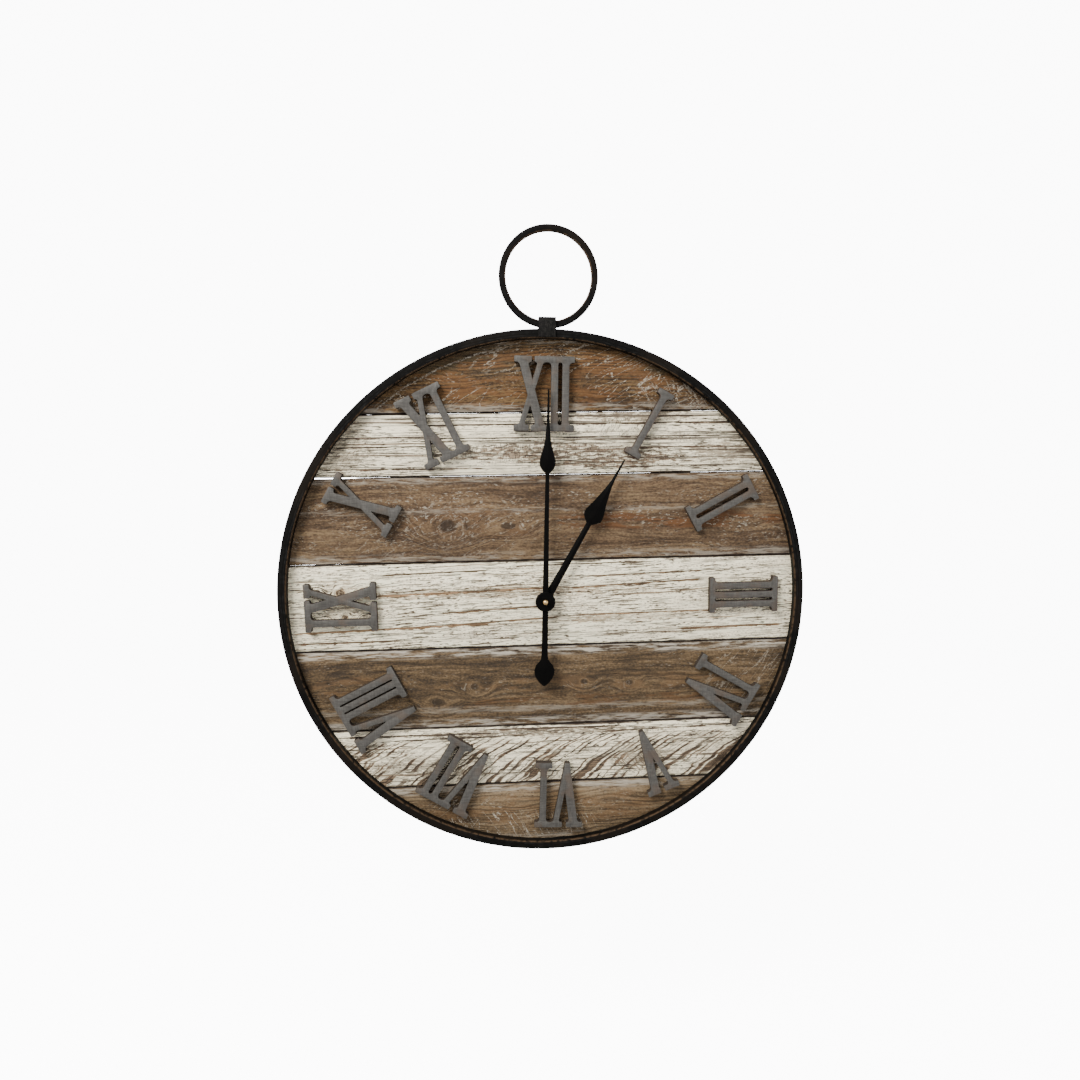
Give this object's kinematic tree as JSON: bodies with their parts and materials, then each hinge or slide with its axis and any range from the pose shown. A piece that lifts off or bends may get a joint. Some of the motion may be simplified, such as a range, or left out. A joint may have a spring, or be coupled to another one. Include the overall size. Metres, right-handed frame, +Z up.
{
  "type": "wall clock",
  "caption": "Round farmhouse wall clock like a pocket watch: mixed brown and white planks in a black iron hoop, raised Roman numerals, spade hands and a hanging ring.",
  "frame": {"origin": "on the hands' axis, in the plane of the wall that the battens rest on", "axes": "+Z up to the hanging ring, the dial faces -Y, +X to the viewer's right"},
  "size_m": [0.6, 0.0525, 0.7078],
  "materials": {
    "brown_board": "stained rough-sawn boards with knots and saw marks",
    "white_board": "worn cream paint over brown boards, with open cracks",
    "bare_pine": "bare planed pine",
    "black_iron": "blackened iron with bronze rub-through on the edges",
    "grey_numeral": "brushed grey paint with brown edges",
    "black_hand": "satin black",
    "brass": "turned brass",
    "zinc_steel": "zinc-plated steel",
    "black_plastic": "moulded black plastic",
    "white_plastic": "natural white acetal",
    "copper_wire": "enamelled copper wire",
    "green_board": "green solder mask",
    "cell_sleeve": "plain printed steel sleeve"
  },
  "bodies": {
    "clock": {"plank_1": "brown_board", "plank_2": "white_board", "plank_3": "brown_board", "plank_4": "white_board", "plank_5": "brown_board", "plank_6": "white_board", "plank_7": "brown_board", "numeral_XII": "grey_numeral", "numeral_I": "grey_numeral", "numeral_II": "grey_numeral", "numeral_III": "grey_numeral", "numeral_IV": "grey_numeral", "numeral_V": "grey_numeral", "numeral_VI": "grey_numeral", "numeral_VII": "grey_numeral", "numeral_VIII": "grey_numeral", "numeral_IX": "grey_numeral", "numeral_X": "grey_numeral", "numeral_XI": "grey_numeral", "hoop": "black_iron", "hanging_ring": "black_iron", "ring_clip": "black_iron", "clip_screw": "black_iron", "hoop_screw_1": "black_iron", "hoop_screw_2": "black_iron", "hoop_screw_3": "black_iron", "hoop_screw_4": "black_iron", "batten_left": "bare_pine", "batten_right": "bare_pine", "centre_bush": "brass", "front_washer": "brass", "front_nut": "brass", "movement_case": "black_plastic", "movement_cover": "black_plastic", "train_bridge": "black_plastic", "stator": "zinc_steel", "coil_core": "zinc_steel", "coil": "copper_wire", "circuit_board": "green_board", "quartz_crystal": "zinc_steel", "contact_plus": "zinc_steel", "contact_minus": "zinc_steel"},
    "minute": {"minute_hand": "black_hand", "minute_arbor": "brass", "cap_nut": "brass"},
    "hour": {"hour_hand": "black_hand", "hour_wheel": "white_plastic"},
    "reverser": {"reverser_wheel": "white_plastic"},
    "centre": {"centre_wheel": "brass"},
    "third": {"third_wheel": "white_plastic"},
    "fourth": {"fourth_wheel": "white_plastic"},
    "intermediate": {"intermediate_wheel": "white_plastic"},
    "step_rotor": {"rotor": "zinc_steel"},
    "knob": {"setting_knob": "white_plastic"},
    "cell": {"battery": "cell_sleeve"}
  },
  "joints": [
    {"name": "minute_turn", "type": "hinge", "parent": "clock", "child": "minute", "pos_m": [0, 0, 0], "axis": [0, 1, 0], "continuous": true},
    {"name": "hour_turn", "type": "hinge", "parent": "clock", "child": "hour", "pos_m": [0, 0, 0], "axis": [0, 1, 0], "continuous": true},
    {"name": "reverser_turn", "type": "hinge", "parent": "clock", "child": "reverser", "pos_m": [0.00846, 0, 0.00308], "axis": [0, 1, 0], "continuous": true},
    {"name": "knob_turn", "type": "hinge", "parent": "clock", "child": "knob", "pos_m": [0.01535, 0, 0.00886], "axis": [0, 1, 0], "continuous": true},
    {"name": "centre_turn", "type": "hinge", "parent": "clock", "child": "centre", "pos_m": [0, 0, 0], "axis": [0, 1, 0], "continuous": true},
    {"name": "third_turn", "type": "hinge", "parent": "clock", "child": "third", "pos_m": [-0.00619, 0, 0.00885], "axis": [0, 1, 0], "continuous": true},
    {"name": "fourth_turn", "type": "hinge", "parent": "clock", "child": "fourth", "pos_m": [-0.00466, 0, 0.01755], "axis": [0, 1, 0], "continuous": true},
    {"name": "intermediate_turn", "type": "hinge", "parent": "clock", "child": "intermediate", "pos_m": [0.00234, 0, 0.01755], "axis": [0, 1, 0], "continuous": true},
    {"name": "rotor_turn", "type": "hinge", "parent": "clock", "child": "step_rotor", "pos_m": [0.00904, 0, 0.01637], "axis": [0, 1, 0], "continuous": true},
    {"name": "battery_slide", "type": "slide", "parent": "clock", "child": "cell", "axis": [0, 1, 0], "range_m": [0, 0.03]}
  ],
  "couplings": [
    {"joint": "hour_turn", "follows": "minute_turn", "ratio": 0.083333},
    {"joint": "reverser_turn", "follows": "minute_turn", "ratio": -0.33333},
    {"joint": "knob_turn", "follows": "minute_turn", "ratio": 1},
    {"joint": "fourth_turn", "follows": "intermediate_turn", "ratio": -0.25},
    {"joint": "third_turn", "follows": "intermediate_turn", "ratio": 0.033333},
    {"joint": "centre_turn", "follows": "intermediate_turn", "ratio": -0.0041667},
    {"joint": "rotor_turn", "follows": "intermediate_turn", "ratio": -7.5}
  ]
}
